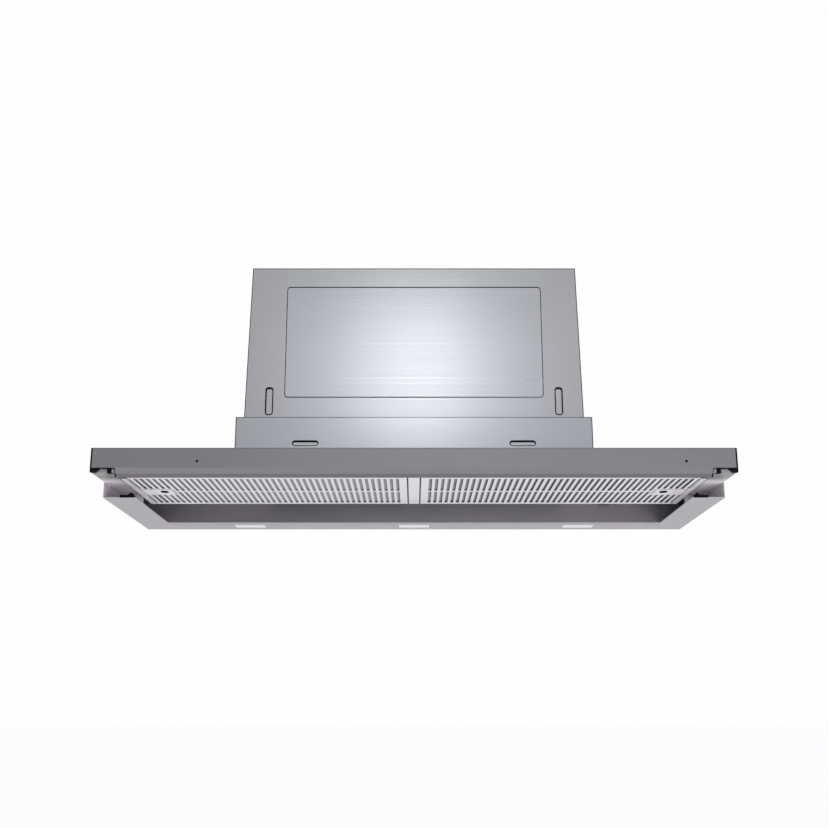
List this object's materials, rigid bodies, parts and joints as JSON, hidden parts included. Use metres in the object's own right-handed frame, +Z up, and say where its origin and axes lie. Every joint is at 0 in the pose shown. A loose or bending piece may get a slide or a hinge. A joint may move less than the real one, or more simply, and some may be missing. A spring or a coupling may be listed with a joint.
{
  "type": "pull-out range hood",
  "caption": "Pull-out cooker hood for a cabinet: a drawer with grease filters slides from a flat tray under a stepped steel housing with fan and duct collar.",
  "frame": {"origin": "middle of the back of the plenum, 40 mm above the tray's top, where the hood backs on to the wall", "axes": "+X to the viewer's right, +Y to the back (the viewer stands at -Y and the drawer pulls out along -Y), +Z up"},
  "size_m": [0.898, 0.3657, 0.4],
  "materials": {
    "body": "brushed, light grey",
    "bright": "brushed, light grey",
    "tray": "satin",
    "bar": "brushed, mid grey",
    "filter": "satin, pale",
    "dark": "satin, in shade",
    "mesh": "layered mesh",
    "zinc": "zinc plated",
    "black": "fine grain",
    "plastic": "moulded",
    "lens": "opal diffuser",
    "motor": "satin"
  },
  "bodies": {
    "hood": {"tray_shell": "tray", "light_box": "dark", "lamp_lens_left": "lens", "lamp_lens_centre": "lens", "lamp_lens_right": "lens", "lamp_board_left": "zinc", "lamp_board_centre": "zinc", "lamp_board_right": "zinc", "guide_rail_left": "tray", "guide_rail_right": "tray", "front_pad_left": "black", "front_pad_right": "black", "plenum_box": "bright", "foot_plate_left": "bright", "foot_plate_right": "bright", "housing_front": "body", "housing_wrap": "body", "clamp_plate_left": "body", "clamp_plate_right": "body", "duct_collar": "plastic", "flap_pin": "zinc", "cable_gland": "black", "fan_scroll_left": "plastic", "fan_scroll_right": "plastic", "fan_motor": "motor", "motor_bracket": "zinc", "capacitor": "zinc", "electronics_box": "plastic", "drawer_sensor": "black", "runner_fixed_left": "zinc", "runner_fixed_right": "zinc"},
    "drawer": {"runner_inner_left": "zinc", "runner_inner_right": "zinc", "side_arm_left": "tray", "side_arm_right": "tray", "front_bar": "bar", "end_cap_left": "black", "end_cap_right": "black", "control_strip": "black", "front_rail": "bar", "rear_rail": "tray", "centre_strip": "filter", "air_screen": "zinc", "arm_buffer_left": "black", "arm_buffer_right": "black"},
    "runner_left": {"runner_middle_left": "zinc"},
    "runner_right": {"runner_middle_right": "zinc"},
    "filter_left": {"filter_left": "filter", "filter_pad_left": "mesh"},
    "filter_right": {"filter_right": "filter", "filter_pad_right": "mesh"},
    "latch_left": {"filter_latch_left": "filter"},
    "latch_right": {"filter_latch_right": "filter"},
    "button_1": {"button_1": "zinc"},
    "button_2": {"button_2": "zinc"},
    "button_3": {"button_3": "zinc"},
    "button_4": {"button_4": "zinc"},
    "fan_wheel": {"impeller": "plastic"},
    "flap_left": {"flap_left": "plastic"},
    "flap_right": {"flap_right": "plastic"}
  },
  "joints": [
    {"name": "drawer_slide", "type": "slide", "parent": "hood", "child": "drawer", "axis": [0, -1, 0], "range_m": [-0.05, 0.11]},
    {"name": "runner_slide_left", "type": "slide", "parent": "hood", "child": "runner_left", "axis": [0, -1, 0], "range_m": [-0.025, 0.055]},
    {"name": "runner_slide_right", "type": "slide", "parent": "hood", "child": "runner_right", "axis": [0, -1, 0], "range_m": [-0.025, 0.055]},
    {"name": "filter_hinge_left", "type": "hinge", "parent": "drawer", "child": "filter_left", "pos_m": [-0.0102, -0.2483, -0.0636], "axis": [0, -1, 0], "range_deg": [0, 75]},
    {"name": "filter_hinge_right", "type": "hinge", "parent": "drawer", "child": "filter_right", "pos_m": [0.0102, -0.2483, -0.0636], "axis": [0, 1, 0], "range_deg": [0, 75]},
    {"name": "latch_slide_left", "type": "slide", "parent": "filter_left", "child": "latch_left", "axis": [1, 0, 0], "range_m": [0, 0.004], "stiffness_N_per_m": 400, "springref_m": -0.003},
    {"name": "latch_slide_right", "type": "slide", "parent": "filter_right", "child": "latch_right", "axis": [-1, 0, 0], "range_m": [0, 0.004], "stiffness_N_per_m": 400, "springref_m": -0.003},
    {"name": "button_1_press", "type": "slide", "parent": "drawer", "child": "button_1", "axis": [0, 0, -1], "range_m": [0, 0.0012], "stiffness_N_per_m": 800, "springref_m": -0.0008},
    {"name": "button_2_press", "type": "slide", "parent": "drawer", "child": "button_2", "axis": [0, 0, -1], "range_m": [0, 0.0012], "stiffness_N_per_m": 800, "springref_m": -0.0008},
    {"name": "button_3_press", "type": "slide", "parent": "drawer", "child": "button_3", "axis": [0, 0, -1], "range_m": [0, 0.0012], "stiffness_N_per_m": 800, "springref_m": -0.0008},
    {"name": "button_4_press", "type": "slide", "parent": "drawer", "child": "button_4", "axis": [0, 0, -1], "range_m": [0, 0.0012], "stiffness_N_per_m": 800, "springref_m": -0.0008},
    {"name": "fan_spin", "type": "hinge", "parent": "hood", "child": "fan_wheel", "pos_m": [0, -0.118, 0.145], "axis": [1, 0, 0], "continuous": true},
    {"name": "flap_hinge_left", "type": "hinge", "parent": "hood", "child": "flap_left", "pos_m": [0, -0.1, 0.309], "axis": [0, 1, 0], "range_deg": [0, 75]},
    {"name": "flap_hinge_right", "type": "hinge", "parent": "hood", "child": "flap_right", "pos_m": [0, -0.1, 0.309], "axis": [0, -1, 0], "range_deg": [0, 75]}
  ],
  "couplings": [
    {"joint": "runner_slide_left", "follows": "drawer_slide", "ratio": 0.5},
    {"joint": "runner_slide_right", "follows": "drawer_slide", "ratio": 0.5}
  ]
}
